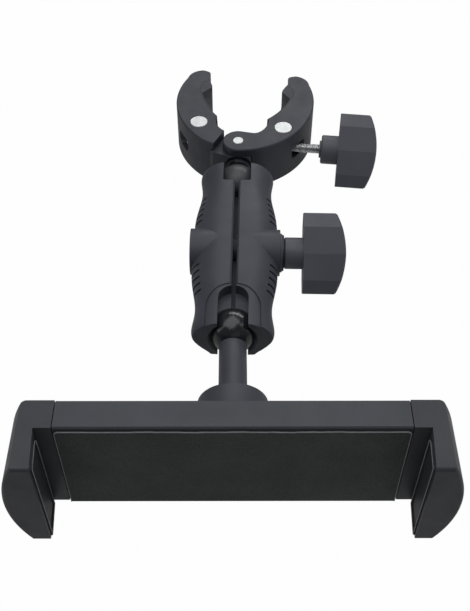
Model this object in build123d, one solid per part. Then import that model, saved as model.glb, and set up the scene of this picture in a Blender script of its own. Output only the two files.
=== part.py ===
from build123d import *
import os
from math import cos, radians, sin, sqrt

# Phone and tablet holder: a spring-loaded cradle on a double-socket ball arm, held by a screw clamp.
# Millimetres. +Z is up, the arm runs along Y, the cradle faces -Y.
# The origin is the axis of the bar that the clamp grips, at the clamp's mid-thickness.

# Clamp, in plan about its hinge: y runs along its middle line, x to the right
clamp_thickness = 25.0
clamp_lean = 6.5
bar_from_hinge = 31.0
ear_radius = 7.8
ear_thickness = 4.35
tongue_radius = 8.2
tongue_front = 8.5
fork_gap = 0.2
fork_slot_radius = 10.0
tongue_shoulder_radius = 9.7
hinge_pin_radius = 2.8
barrel_radius = 4.6
barrel_from_hinge = 25.35
barrel_half_apex = 59.1
jaw_edge_chamfer = 0.5
jaw_opens = 8.0
jaw_closes = 36.0
running_gap = 0.05
seam_gap = 0.12

# Points on the outline of a jaw: the arcs and lines between them are drawn by jawEdges
outer_low = (20.4, 0.5)
outer_middle = (36.15, 32.0)
outer_high = (32.4, 52.2)
tip_bulge = (29.4, 56.4)
tip_top = (25.0, 58.0)
tip_inner = (21.0, 56.6)
seat_top = (21.4, 49.8)
seat_bulge = (24.75, 44.2)
seat_turn = (24.2, 37.5)
seat_run = (20.3, 28.0)
seat_low = (13.3, 18.7)
throat_bulge = (12.5, 11.9)
throat_end = (8.0, 7.0)
heel_corner = (12.2, -3.9)
heel_bulge = (16.4, -2.2)
ear_bulge = (11.2, -5.2)
pad_crest = (18.75, 45.6)
pad_waist = (18.4, 37.0)
pad_run = (16.3, 28.0)
pad_foot = (12.6, 19.5)
pad_bevel_angle = 20.0
pad_bevel_end = 37.4
pad_ridge_half = 2.0
pad_key_width = 9.0
pad_key_height = 8.0
pad_key_depth = 2.4
tip_round = 2.4

# Clamp screw, knob and the slots that let the screw swing
screw_radius = 2.5
journal_radius = 2.2
screw_slot_half_width = 3.6
screw_slot_half_height = 3.8
screw_slot_round = 2.6
knob_start = 41.9
clip_radius = 3.2
clip_thickness = 0.9

# T-shaped knobs: the hub is a cylinder, the wing an elongated ten-sided bar with a crowned back
hub_radius = 7.35
hub_length = 8.8
knob_collar_radius = 4.4
knob_collar_length = 0.9
wing_half_length = 18.7
wing_facet_half = 12.3
wing_half_thickness = 8.2
wing_shoulder_half = 6.9
wing_end_half = 3.4
wing_depth = 19.4
wing_end_depth = 15.2
wing_edge_round = 0.7
clamp_knob_tilt = 40.0
arm_knob_tilt = 45.4

# Balls
ball_radius = 10.0
ball_gap = 0.15
neck_gap = 0.3
stud_radius = 3.0
collar_radius = 5.5
collar_from_hinge = 8.0
arm_swing_radius = 14.2
ball_from_hinge = 19.3

# Double-socket arm, about its bolt: y runs towards the clamp
arm_yaw = 1.35
ball_spacing = 95.4
arm_half_length = 52.3
arm_half_height = 11.0
arm_socket_half_width = 17.2
arm_waist_half_width = 17.05
arm_shoulder_half_width = 18.3
arm_middle_half_width = 19.8
arm_split_gap = 2.0
arm_split_chamfer = 0.8
arm_end_round = 1.0
arm_loosens = 1.5
boss_radius = 10.8
boss_half_span = 20.7
mouth_radius = 10.85
mouth_depth = 1.6
near_notch_width = 13.2
near_notch_end = 30.4
far_notch_width = 13.5
far_notch_end = 38.6
far_notch_round = 1.5
relief_width = 24.0
relief_depth = 0.45
relief_margin = 1.2
arm_core_half_height = 5.6
arm_core_reach = 13.0
arm_core_start = 13.0
grip_pitch = 3.9
grip_first = 14.2
grip_count = 5
grip_width = 1.1
grip_depth = 1.1
grip_half_height = 7.0
notch_floor = 5.4
rib_half_thickness = 0.9
rib_reach = 3.0
rib_from = 8.0
rib_to = 36.5
rib_gap = 0.4

# Arm bolt and what is threaded on it
bolt_radius = 3.0
bolt_gap = 0.15
head_across_flats = 10.0
head_height = 4.0
head_recess = 4.6
bolt_reach = 37.0
spring_radius = 5.6
spring_wire = 0.6
spring_turns = 4.5
spring_pocket_radius = 6.8
spring_pocket_depth = 8.0
plastic_washer_radius = 9.0
plastic_washer_thickness = 1.0
steel_washer_radius = 8.4
steel_washer_thickness = 0.8
insert_radius = 4.6
insert_length = 8.0

# Stem and flange behind the cradle
stem_radius = 5.9
flange_radius = 14.35
flange_length = 16.9
flange_edge_round = 0.8
stud_in_stem = 30.0
flange_screw_circle = 9.5

# Cradle body: front housing, back cover, slides and springs
body_width = 131.0
body_height = 52.15
body_depth = 12.15
front_depth = 5.6
body_wall = 2.0
body_from_ball = 54.55
body_edge_chamfer = 0.5
slide_half_height = 16.0
slide_window_half = 9.0
slide_thickness = 3.2
slide_gap = 0.3
slide_reach = 30.0
slide_in_jaw = 4.5
jaw_travel = 45.0
lane_height = 19.4
peg_radius = 1.4
lug_length = 6.0
anchor_from_end = 13.5
coil_radius = 2.7
coil_wall = 0.7
corner_screw_inset_x = 4.6
corner_screw_inset_z = 4.6
corner_boss_radius = 3.0
cover_screw_radius = 1.3
cover_head_radius = 2.6
cover_head_depth = 2.2
countersink_radius = 2.3

# Front pad
pad_thickness = 1.2
pad_recess = 0.4
pad_below_top = 3.4
pad_side_margin = 0.3
pad_corner_round = 4.0

# End jaws of the cradle; the four sizes from jaw_inner_back to jaw_bulge are measured from the body's end
jaw_seam = 0.35
jaw_inner_back = 6.86
jaw_inner_front = 5.64
jaw_outer = 12.9
jaw_bulge = 19.3
jaw_forward = 17.63
jaw_front_round = 1.5
jaw_back_round = 2.0
liner_thickness = 1.5
liner_proud = 0.5
liner_rim = 1.1
liner_front_margin = 2.0
liner_back_margin = 1.4
liner_top_margin = 3.0
liner_corner_round = 4.0

half_thickness = clamp_thickness / 2
tongue_half = half_thickness - ear_thickness - fork_gap / 2
barrel_x = barrel_from_hinge * sin(radians(barrel_half_apex))
barrel_y = barrel_from_hinge * cos(radians(barrel_half_apex))
half_spacing = ball_spacing / 2

# Where the three groups stand: the clamp about its hinge, the arm about its bolt, the cradle about its ball
hinge_x = -bar_from_hinge * sin(radians(clamp_lean))
hinge_y = -bar_from_hinge * cos(radians(clamp_lean))
along_x = sin(radians(arm_yaw))
along_y = cos(radians(arm_yaw))
bolt_from_hinge = ball_from_hinge + half_spacing
low_ball_from_hinge = ball_from_hinge + ball_spacing
clamp_place = Pos(hinge_x, hinge_y, 0) * Rot(0, 0, -clamp_lean)
arm_place = Pos(hinge_x - bolt_from_hinge * along_x, hinge_y - bolt_from_hinge * along_y, 0) * Rot(0, 0, -arm_yaw)
cradle_place = Pos(hinge_x - low_ball_from_hinge * along_x, hinge_y - low_ball_from_hinge * along_y, 0)


def face_of(*curves):
    """A flat face inside a closed run of lines and arcs."""
    return make_face([edge for curve in curves for edge in curve.edges()])


def slab(face, low, high):
    """The face in plan, made solid from one height to another."""
    return Pos(0, 0, low) * extrude(face, amount=high - low, dir=(0, 0, 1))


def round_corner(face, point, radius):
    """Rounds the corner of a flat face that lies nearest to a point."""
    corner = sorted(face.vertices(), key=lambda v: (v.X - point[0]) ** 2 + (v.Y - point[1]) ** 2)[0]
    return fillet(corner, radius)


def rod(radius, x_from, x_to):
    """A cylinder along X."""
    return Pos((x_from + x_to) / 2, 0, 0) * Rot(0, 90, 0) * Cylinder(radius, abs(x_to - x_from))


def post(radius, y_from, y_to):
    """A cylinder along Y."""
    return Pos(0, (y_from + y_to) / 2, 0) * Rot(90, 0, 0) * Cylinder(radius, abs(y_to - y_from))


def block(x_from, x_to, y_from, y_to, z_from, z_to):
    """A box between two corners."""
    size = Box(abs(x_to - x_from), abs(y_to - y_from), abs(z_to - z_from))
    return Pos((x_from + x_to) / 2, (y_from + y_to) / 2, (z_from + z_to) / 2) * size


def flipped(part):
    """The mirror image, left for right."""
    return mirror(part, about=Plane.YZ)


# Clamp


def jaw_edges():
    """Outer arc, rounded tip, pad seat and throat of a jaw, drawn for the right-hand one."""
    return [
        ThreePointArc(outer_low, outer_middle, outer_high),
        ThreePointArc(outer_high, tip_bulge, tip_top),
        Line(tip_top, tip_inner),
        Line(tip_inner, seat_top),
        ThreePointArc(seat_top, seat_bulge, seat_turn),
        ThreePointArc(seat_turn, seat_run, seat_low),
        ThreePointArc(seat_low, throat_bulge, throat_end),
    ]


def rounded_tip(face):
    """The inner corner of a jaw's tip, rounded."""
    return round_corner(face, tip_inner, tip_round)


def screw_slot(low_angle, high_angle):
    """The room that the clamp screw sweeps inside a jaw, about the barrel, as two wedges."""
    reach = 24.0
    wedges = []
    for side in (1, -1):
        first, last = (low_angle, high_angle) if side > 0 else (high_angle, low_angle)
        corners = []
        for angle, edge in ((last, 1), (first, -1)):
            c, s = cos(radians(angle)), sin(radians(angle))
            near = (-s * edge * screw_slot_half_width, c * edge * screw_slot_half_width)
            far = (near[0] + side * reach * c, near[1] + side * reach * s)
            corners.append((near, far))
        (a, b), (d, c2) = corners
        face = make_face(Polyline(a, b, c2, d, close=True).edges())
        wedge = slab(face, -screw_slot_half_height, screw_slot_half_height)
        long_edges = [e for e in wedge.edges() if e.length > 0.8 * reach]
        wedges.append(fillet(long_edges, screw_slot_round))
    return wedges[0] + wedges[1]


def pad_outline(gap):
    """Plan of a jaw's rubber pad, smaller than its seat by the gap."""
    face = face_of(
        ThreePointArc(seat_top, seat_bulge, seat_turn),
        ThreePointArc(seat_turn, seat_run, seat_low),
        Line(seat_low, pad_foot),
        ThreePointArc(pad_foot, pad_run, pad_waist),
        Line(pad_waist, pad_crest),
        Line(pad_crest, seat_top),
    )
    face = round_corner(face, pad_crest, 2.2)
    return offset(face, amount=-gap) if gap else face


def pad_key(gap):
    """The rib on a pad's back that its jaw's pocket holds."""
    middle = (seat_turn[0] - 1.0, seat_turn[1] - 2.0)
    key = Box(2 * pad_key_depth + 2.0 - 2 * gap, pad_key_width - 2 * gap, pad_key_height - 2 * gap)
    return Pos(middle[0] + 1.2, middle[1], 0) * Rot(0, 0, -18) * key


def right_pad():
    pad = slab(pad_outline(seam_gap), -half_thickness, half_thickness)
    opening = make_face(
        [
            *ThreePointArc(pad_foot, pad_run, pad_waist).edges(),
            *Polyline(pad_waist, (0, pad_waist[1]), (0, pad_foot[1] - 6), (pad_foot[0], pad_foot[1] - 6), pad_foot).edges(),
        ]
    )
    rise = half_thickness - pad_ridge_half + 1.0
    bevel = Pos(0, 0, pad_ridge_half) * extrude(opening, amount=rise, dir=(0, 0, 1), taper=-pad_bevel_angle)
    bevel &= block(-40, 40, 0, pad_bevel_end, 0, clamp_thickness)
    pad = pad - bevel - mirror(bevel, about=Plane.XY)
    return pad + pad_key(seam_gap)


def right_jaw():
    ear_low = (0, -ear_radius)
    plan = face_of(
        ThreePointArc(ear_low, ear_bulge, outer_low),
        *jaw_edges(),
        Line(throat_end, (0, ear_radius)),
        Line((0, ear_radius), ear_low),
    )
    plan = round_corner(rounded_tip(plan), throat_end, 4.0) + Circle(ear_radius)
    jaw = slab(plan, -half_thickness, half_thickness)
    rims = [e for e in jaw.edges().filter_by(GeomType.CIRCLE) if e.radius > 20 and e.length > 12]
    rims = [e for e in rims if e.center().X > 8 and abs(abs(e.center().Z) - half_thickness) < 0.01]
    rims = [e for e in rims if e.center().X ** 2 + (e.center().Y - bar_from_hinge) ** 2 > 28 ** 2]
    jaw = chamfer(rims, jaw_edge_chamfer)
    jaw -= Cylinder(fork_slot_radius, 2 * tongue_half + fork_gap)
    jaw -= Cylinder(hinge_pin_radius + running_gap, clamp_thickness + 1)
    barrel = Pos(barrel_x, barrel_y, 0)
    jaw -= barrel * Cylinder(barrel_radius + running_gap, clamp_thickness + 1)
    jaw -= barrel * screw_slot(-jaw_closes / 2, jaw_opens / 2)
    return jaw - pad_key(0)


def left_jaw():
    plan = face_of(
        ThreePointArc(heel_corner, heel_bulge, outer_low),
        *jaw_edges(),
        Line(throat_end, heel_corner),
    )
    plan = rounded_tip(plan)
    jaw = slab(plan, -half_thickness, half_thickness)
    rims = [e for e in jaw.edges().filter_by(GeomType.CIRCLE) if e.radius > 20 and e.length > 12]
    rims = [e for e in rims if e.center().X > 8 and abs(abs(e.center().Z) - half_thickness) < 0.01]
    rims = [e for e in rims if e.center().X ** 2 + (e.center().Y - bar_from_hinge) ** 2 > 28 ** 2]
    jaw = chamfer(rims, jaw_edge_chamfer)
    jaw -= Pos(barrel_x, barrel_y, 0) * Cylinder(barrel_radius + running_gap, clamp_thickness + 1)
    jaw -= pad_key(0)
    jaw = flipped(jaw)
    tongue_plan = make_face(
        Polyline(
            (-15, 5), (-15, -2.2), (-12.4, -5.2), (-3.0, -tongue_front), (4.8, -tongue_front), (6.6, -4.9),
            (0, 0), (-1.6, tongue_radius - 0.2), (-throat_end[0], throat_end[1]), close=True,
        ).edges()
    )
    shoulder = Circle(tongue_shoulder_radius) & Rot(0, 0, -55) * Pos(tongue_shoulder_radius, 0) * Rectangle(
        2 * tongue_shoulder_radius, 1.15 * tongue_shoulder_radius
    )
    tongue = slab(tongue_plan + Circle(tongue_radius) + shoulder, -tongue_half, tongue_half)
    ball_turn = clamp_lean - arm_yaw
    arm_room = Sphere(arm_swing_radius) - post(collar_radius + 0.9, 0, arm_swing_radius + 1)
    tongue -= Rot(0, 0, ball_turn) * Pos(0, -ball_from_hinge, 0) * arm_room
    jaw += tongue
    jaw -= Cylinder(hinge_pin_radius + running_gap, clamp_thickness + 1)
    jaw -= Pos(-barrel_x, barrel_y, 0) * screw_slot(-jaw_opens / 2, jaw_closes / 2)
    return jaw


def stud_hole():
    """The blind hole in the tongue and the flat seat for the collar, in the arm's axes."""
    seat = post(collar_radius + running_gap, bolt_from_hinge - collar_from_hinge - 4, bolt_from_hinge - collar_from_hinge)
    return seat + post(stud_radius + running_gap, bolt_from_hinge - tongue_front - 1, tongue_stud_end + 0.3)


tongue_stud_end = bolt_from_hinge - hinge_pin_radius - 1.0


def barrel(hole_radius):
    """A round cross-drilled barrel nut, flush with both faces of the clamp."""
    body = Cylinder(barrel_radius, clamp_thickness)
    body = chamfer(body.edges().filter_by(GeomType.CIRCLE), 0.3)
    return body - rod(hole_radius, -2 * barrel_radius, 2 * barrel_radius)


def clamp_screw():
    """M5 screw along X through both barrels, its reduced end held in the left one."""
    shoulder = -barrel_x + barrel_radius + 0.2
    left_end = -barrel_x - barrel_radius - 0.2 - clip_thickness - 0.7
    screw = rod(screw_radius, shoulder, knob_start + hub_length + 5.0)
    screw += rod(journal_radius, left_end, shoulder)
    return Pos(0, barrel_y, 0) * chamfer(screw.edges().filter_by(GeomType.CIRCLE).sort_by(Axis.X)[0], 0.4)


def clamp_clip():
    """Retaining ring on the screw's end, outside the left barrel."""
    outer = -barrel_x - barrel_radius - 0.2
    ring = rod(clip_radius, outer - clip_thickness, outer)
    return Pos(0, barrel_y, 0) * (ring - rod(journal_radius + 0.02, outer - 2, outer + 1))


# Knobs


def t_knob():
    """Knob along +X from the end of its hub, its wing along Z."""
    half = [
        (wing_end_half, wing_half_length),
        (wing_shoulder_half, wing_facet_half),
        (wing_half_thickness, 0),
        (wing_shoulder_half, -wing_facet_half),
        (wing_end_half, -wing_half_length),
    ]
    corners = half + [(-q, p) for q, p in reversed(half)]
    section = Plane.YZ * make_face(Polyline(*corners, close=True).edges())
    bar = Pos(hub_length, 0, 0) * extrude(section, amount=wing_depth + 1, dir=(1, 0, 0))
    crown = face_of(
        Line((hub_length, -wing_half_length), (hub_length + wing_end_depth, -wing_half_length)),
        ThreePointArc(
            (hub_length + wing_end_depth, -wing_half_length),
            (hub_length + wing_depth, 0),
            (hub_length + wing_end_depth, wing_half_length),
        ),
        Line((hub_length + wing_end_depth, wing_half_length), (hub_length, wing_half_length)),
        Line((hub_length, wing_half_length), (hub_length, -wing_half_length)),
    )
    crown = extrude(Plane.XZ * crown, amount=2 * wing_half_thickness, both=True)
    wing = bar & crown
    back_edges = [e for e in wing.edges() if e.bounding_box().min.X > hub_length + 0.5 and e.length > 3]
    wing = chamfer(back_edges, wing_edge_round)
    hub = rod(hub_radius, 0, hub_length + 1)
    hub = chamfer(hub.edges().filter_by(GeomType.CIRCLE).sort_by(Axis.X)[0], 0.6)
    return wing + hub


def clamp_knob():
    knob = t_knob() + rod(knob_collar_radius, -knob_collar_length, 1) - rod(screw_radius + 0.02, -1, hub_length + 5.3)
    return Pos(knob_start, barrel_y, 0) * Rot(-clamp_knob_tilt, 0, 0) * knob


def arm_knob():
    knob = t_knob() - rod(insert_radius + 0.02, -1, insert_length)
    knob -= rod(bolt_radius + 0.6, 0, bolt_reach - arm_knob_start + 2.0)
    return Pos(arm_knob_start, 0, 0) * Rot(-arm_knob_tilt, 0, 0) * knob


def arm_knob_insert():
    """Threaded brass bush pressed into the arm knob's hub."""
    bush = rod(insert_radius, 0.1, insert_length - 0.1) - rod(bolt_radius + running_gap, -1, insert_length + 1)
    return Pos(arm_knob_start, 0, 0) * bush


# Balls and studs


def upper_ball():
    bore = post(stud_radius + running_gap, -1.0, ball_radius + 1)
    return Pos(0, half_spacing, 0) * (Sphere(ball_radius) - bore)


def upper_ball_stud():
    """Steel stud through the collar, from the ball's middle into the tongue."""
    stud = post(stud_radius, half_spacing - 0.7, tongue_stud_end)
    collar = post(collar_radius, half_spacing + 6.5, bolt_from_hinge - collar_from_hinge)
    collar -= Pos(0, half_spacing, 0) * Sphere(ball_radius + neck_gap)
    return stud + collar


def lower_ball():
    return Sphere(ball_radius) - post(stud_radius + running_gap, 1.0, -ball_radius - 1)


def lower_ball_stud():
    """Steel stud from the ball's middle into the stem."""
    return post(stud_radius, 0.7, -ball_radius - stud_in_stem)


# Arm


def arm_section(y, half_width, shrink, inner_x):
    """Half of the arm's rounded cross-section at one place along it."""
    w = half_width - shrink
    h = arm_half_height - shrink
    curve = Spline(
        (inner_x, h), (0.62 * w, 0.866 * h), (w, 0), (0.62 * w, -0.866 * h), (inner_x, -h),
        tangents=((1, 0), (-1, 0)),
    )
    face = make_face([*curve.edges(), *Line((inner_x, -h), (inner_x, h)).edges()])
    return Plane(origin=(0, y, 0), x_dir=(1, 0, 0), z_dir=(0, -1, 0)) * face


def arm_form(shrink, inner_x):
    """The right-hand half of the arm's outside, from socket to socket."""
    stations = [
        (arm_half_length, arm_socket_half_width),
        (0.8 * arm_half_length, arm_waist_half_width + 0.05),
        (0.65 * arm_half_length, arm_waist_half_width),
        (0.5 * arm_half_length, arm_shoulder_half_width),
        (0.28 * arm_half_length, arm_middle_half_width - 0.25),
    ]
    places = [(-y, w) for y, w in stations] + [(0, arm_middle_half_width)] + [(y, w) for y, w in reversed(stations)]
    return loft([arm_section(y, w, shrink, inner_x) for y, w in places])


def near_notch(width, end, height):
    """U-shaped slot in plan, open at the cradle's end of the arm."""
    radius = width / 2
    slot = Pos(0, -end - radius, 0) * Cylinder(radius, height)
    return slot + block(-radius, radius, -end - radius, -arm_half_length - 5, -height / 2, height / 2)


def arm_half():
    """One plain half of the arm, drawn for the right, without its bolt seat."""
    inner = arm_split_gap / 2
    half = arm_form(0, inner)
    ends = [e for e in half.edges() if abs(abs(e.center().Y) - arm_half_length) < 0.01 and e.length > 30]
    half = fillet(ends, arm_end_round)
    half += rod(boss_radius, inner, boss_half_span)
    lowered = near_notch(relief_width, near_notch_end - relief_margin, 4 * arm_half_height)
    half -= lowered - arm_form(relief_depth, 0) - block(-1, 30, -60, 0, -4, 4)
    tall = 4 * arm_half_height
    half -= near_notch(near_notch_width, half_spacing - near_notch_width / 2, tall)
    half -= near_notch(near_notch_width, near_notch_end, tall) - block(-30, 30, -60, 0, -notch_floor, notch_floor)
    far = block(-far_notch_width / 2, far_notch_width / 2, far_notch_end, arm_half_length + 5, -tall / 2, tall / 2)
    far = fillet([e for e in far.edges().filter_by(Axis.Z) if e.center().Y < far_notch_end + 1], far_notch_round)
    half -= far
    for end in (-1, 1):
        half -= Pos(0, end * half_spacing, 0) * Sphere(ball_radius + ball_gap)
        mouth = Cone(mouth_radius - mouth_depth, mouth_radius, mouth_depth)
        half -= Pos(0, end * (arm_half_length - mouth_depth / 2), 0) * Rot(-90 * end, 0, 0) * mouth
        half -= Pos(0, 0, end * arm_half_height) * Rot(0, 45, 0) * Box(
            (arm_split_gap + 2 * arm_split_chamfer) / sqrt(2), 3 * arm_half_length,
            (arm_split_gap + 2 * arm_split_chamfer) / sqrt(2),
        )
        core_end = near_notch_end - 1.5 if end < 0 else far_notch_end - 3.0
        low, high = sorted((end * arm_core_start, end * core_end))
        half -= block(0, arm_core_reach, low, high, -arm_core_half_height, arm_core_half_height)
        for n in range(grip_count):
            y = end * (grip_first + n * grip_pitch)
            slot = block(8, 30, y - grip_width / 2, y + grip_width / 2, -grip_half_height, grip_half_height)
            half -= slot - arm_form(grip_depth, 0)
    half -= rod(bolt_radius + bolt_gap, 0, boss_half_span + 1)
    half -= rod(spring_pocket_radius, 0, inner + spring_pocket_depth)
    return half


def hexagon_along_x(across_flats, x_from, x_to):
    outline = Plane.YZ * RegularPolygon(across_flats / 2, 6, major_radius=False)
    return Pos(x_from, 0, 0) * extrude(outline, amount=x_to - x_from, dir=(1, 0, 0))


def arm_bolt():
    """Hexagon-head bolt, its head sunk in the left boss."""
    head_face = -boss_half_span + head_recess - head_height
    head = hexagon_along_x(head_across_flats, head_face, head_face + head_height)
    return head + rod(bolt_radius, head_face + 1, bolt_reach)


def arm_ribs(grow):
    """Two ribs that reach from the left half into the right one and keep them in line."""
    z = rib_half_thickness + grow
    ribs = block(-1.5 * arm_core_reach / 1.4, rib_reach + grow, rib_from - grow, rib_to + grow, -z, z)
    return ribs + mirror(ribs, about=Plane.XZ)


def arm_left_shell(half):
    recess = hexagon_along_x(head_across_flats + 0.3, -boss_half_span - 1, -boss_half_span + head_recess)
    return flipped(half) - recess + arm_ribs(0)


def arm_right_shell(half):
    return half - arm_ribs(rib_gap)


def arm_spring():
    """Compression spring round the bolt, which opens the arm when the knob is loosened."""
    half_span = arm_split_gap / 2 + spring_pocket_depth - spring_wire - 0.1
    pitch = 2 * half_span / spring_turns
    path = Helix(pitch=pitch, height=2 * half_span, radius=spring_radius)
    wire = Plane(origin=path @ 0, z_dir=path % 0) * Circle(spring_wire)
    return Rot(0, 90, 0) * Pos(0, 0, -half_span) * sweep(wire, path=path)


arm_knob_start = boss_half_span + plastic_washer_thickness + steel_washer_thickness + 0.1


def washer(radius, x_from, thickness):
    ring = rod(radius, x_from, x_from + thickness) - rod(bolt_radius + bolt_gap, x_from - 1, x_from + thickness + 1)
    return chamfer(ring.edges().filter_by(GeomType.CIRCLE).sort_by(lambda e: e.radius)[-2:], 0.2)


# Cradle, about its ball: y runs from the body towards the ball

back_y = -body_from_ball
split_y = back_y - body_depth + front_depth
front_y = back_y - body_depth
half_width = body_width / 2
half_height = body_height / 2
front_layer_y = split_y - slide_gap / 2 - slide_thickness
back_layer_y = split_y + slide_gap / 2
left_lane_y = split_y + 0.5
right_lane_y = split_y - 0.5
boss_x = half_width - corner_screw_inset_x
boss_z = half_height - corner_screw_inset_z
anchor_x = half_width - anchor_from_end
lug_x = slide_reach - lug_length / 2
cheek_back_x = half_width + jaw_inner_back
cheek_front_x = half_width + jaw_inner_front
wall_x = half_width + jaw_outer
bulge_x = half_width + jaw_bulge


def stem():
    """Stem and flange, one moulding, with a cup against the ball."""
    body = post(stem_radius, -7.0, back_y)
    flange = post(flange_radius, back_y + flange_length, back_y)
    rim = flange.edges().filter_by(GeomType.CIRCLE).sort_by(Axis.Y)[-1]
    body += fillet(rim, flange_edge_round)
    body -= Sphere(ball_radius + neck_gap)
    body -= post(stud_radius + running_gap, 0, -ball_radius - stud_in_stem - 0.3)
    for x, z in flange_screw_places():
        body -= Pos(x, 0, z) * post(cover_screw_radius + 0.02, back_y - 1, back_y + 7.3)
    return body


def flange_screw_places():
    side = flange_screw_circle / sqrt(2)
    return [(x, z) for x in (-side, side) for z in (-side, side)]


def flange_screw_shape(grow):
    """Countersunk screw from inside the cover into the flange."""
    inside = back_y - body_wall
    head = Cone(countersink_radius + grow, cover_screw_radius + grow, 1.4)
    head = Pos(0, inside + 0.7, 0) * Rot(-90, 0, 0) * head
    return head + post(cover_screw_radius + grow, inside + 0.5, back_y + 7.0)


def flange_screws():
    return Compound([Pos(x, 0, z) * flange_screw_shape(0) for x, z in flange_screw_places()])


def corner_places():
    return [(x, z) for x in (-boss_x, boss_x) for z in (-boss_z, boss_z)]


def cover_screws():
    screws = []
    for x, z in corner_places():
        head = post(cover_head_radius, back_y - 0.4, back_y - cover_head_depth)
        head -= block(-cover_head_radius, cover_head_radius, back_y - 1.2, back_y, -0.35, 0.35)
        head -= block(-0.35, 0.35, back_y - 1.2, back_y, -cover_head_radius, cover_head_radius)
        screws.append(Pos(x, 0, z) * (head + post(cover_screw_radius, back_y - 1.5, front_y + body_wall + 0.3)))
    return Compound(screws)


def end_channels(y_low, y_high):
    """Openings through both ends of the body for one layer's slide."""
    z = slide_half_height + slide_gap
    return block(-half_width - 1, half_width + 1, y_low, y_high, -z, z)


def front_housing():
    shell = block(-half_width, half_width, front_y, split_y, -half_height, half_height)
    rims = [e for e in shell.edges() if abs(e.center().Y - front_y) < 0.01]
    shell = chamfer([e for e in rims if abs(e.center().Z) > 1], body_edge_chamfer)
    shell -= block(
        -half_width + body_wall, half_width - body_wall, front_y + body_wall, split_y + 1,
        -half_height + body_wall, half_height - body_wall,
    )
    for x, z in corner_places():
        shell += Pos(x, 0, z) * post(corner_boss_radius, front_y + body_wall / 2, split_y)
        shell -= Pos(x, 0, z) * post(cover_screw_radius + 0.02, front_y + body_wall, split_y + 1)
    for side in (-1, 1):
        shell += Pos(side * anchor_x, 0, side * lane_height) * post(peg_radius, front_y + body_wall / 2, left_lane_y + 2.0)
    shell -= end_channels(front_layer_y - slide_gap, split_y + 1)
    return shell - front_pad_shape(-pad_recess, seam_gap)


def back_cover():
    shell = block(-half_width, half_width, split_y, back_y, -half_height, half_height)
    rims = [e for e in shell.edges() if abs(e.center().Y - back_y) < 0.01]
    shell = chamfer([e for e in rims if abs(e.center().Z) > 1], body_edge_chamfer)
    shell -= block(
        -half_width + body_wall, half_width - body_wall, split_y - 1, back_y - body_wall,
        -half_height + body_wall, half_height - body_wall,
    )
    for x, z in corner_places():
        shell += Pos(x, 0, z) * post(corner_boss_radius + 0.6, split_y, back_y - body_wall / 2)
        shell -= Pos(x, 0, z) * post(cover_screw_radius + 0.2, split_y - 1, back_y + 1)
        shell -= Pos(x, 0, z) * post(cover_head_radius + 0.2, back_y - cover_head_depth, back_y + 1)
    shell -= end_channels(split_y - 1, back_layer_y + slide_thickness + slide_gap)
    for x, z in flange_screw_places():
        shell -= Pos(x, 0, z) * flange_screw_shape(0.02)
    return shell


def front_pad_shape(stands, grow):
    """The front pad: square at the bottom, rounded at its upper corners; stands is how far it is proud."""
    low = -half_height
    high = half_height - pad_below_top + grow
    wide = half_width - pad_side_margin + grow
    face = make_face(Polyline((-wide, low), (wide, low), (wide, high), (-wide, high), close=True).edges())
    for x in (-wide, wide):
        face = round_corner(face, (x, high), pad_corner_round)
    plane = Plane(origin=(0, front_y + pad_recess, 0), x_dir=(1, 0, 0), z_dir=(0, -1, 0))
    return extrude(plane * face, amount=pad_recess + stands if stands > 0 else pad_recess + 1.0, dir=(0, -1, 0))


def front_pad():
    return front_pad_shape(pad_thickness - pad_recess, 0)


def left_slide():
    """Flat slide of the left jaw in the front layer, with a lug and peg for its spring."""
    end = -half_width - jaw_seam - slide_in_jaw
    y_low, y_high = front_layer_y, front_layer_y + slide_thickness
    slide = block(end, slide_reach, y_low, y_high, -slide_half_height, slide_half_height)
    slide += block(
        slide_reach - lug_length, slide_reach, y_low, y_high,
        slide_half_height - 1, lane_height + peg_radius + 0.6,
    )
    slide += Pos(lug_x, 0, lane_height) * post(peg_radius, y_high - 0.5, left_lane_y + 2.0)
    window = block(-half_width + 12, slide_reach - 14, y_low - 1, y_high + 1, -slide_window_half, slide_window_half)
    return slide - window


def right_slide():
    """The right jaw's slide lies in the back layer, its lug below."""
    end = half_width + jaw_seam + slide_in_jaw
    y_low, y_high = back_layer_y, back_layer_y + slide_thickness
    slide = block(-slide_reach, end, y_low, y_high, -slide_half_height, slide_half_height)
    slide += block(
        -slide_reach, -slide_reach + lug_length, y_low, y_high,
        -lane_height - peg_radius - 0.6, -slide_half_height + 1,
    )
    slide += Pos(-lug_x, 0, -lane_height) * post(peg_radius, y_low + 0.5, right_lane_y - 2.0)
    window = block(-slide_reach + 14, half_width - 12, y_low - 1, y_high + 1, -slide_window_half, slide_window_half)
    return slide - window


def cradle_spring():
    """Extension spring between a slide's peg and the housing's anchor, as its closed coil and two eyes."""
    eye_inner = peg_radius + 0.3
    eye = Cylinder(eye_inner + coil_wall, coil_wall) - Cylinder(eye_inner, 2 * coil_wall)
    eye = Rot(90, 0, 0) * eye
    coil_from = lug_x + eye_inner + coil_wall + 1.2
    coil_to = anchor_x - eye_inner - coil_wall - 1.2
    coil = rod(coil_radius, coil_from, coil_to) - rod(coil_radius - coil_wall, coil_from + coil_wall, coil_to - coil_wall)
    coil += rod(coil_wall / 2, lug_x + eye_inner + 0.1, coil_from + 0.3)
    coil += rod(coil_wall / 2, coil_to - 0.3, anchor_x - eye_inner - 0.1)
    coil += Pos(lug_x, 0, 0) * eye
    coil += Pos(anchor_x, 0, 0) * eye
    return coil


def jaw_slide_pocket(y_low):
    z = slide_half_height + 0.1
    inner = half_width + jaw_seam - 1
    return block(inner, inner + 1 + slide_in_jaw + 0.1, y_low - 0.1, y_low + slide_thickness + 0.1, -z, z)


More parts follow.
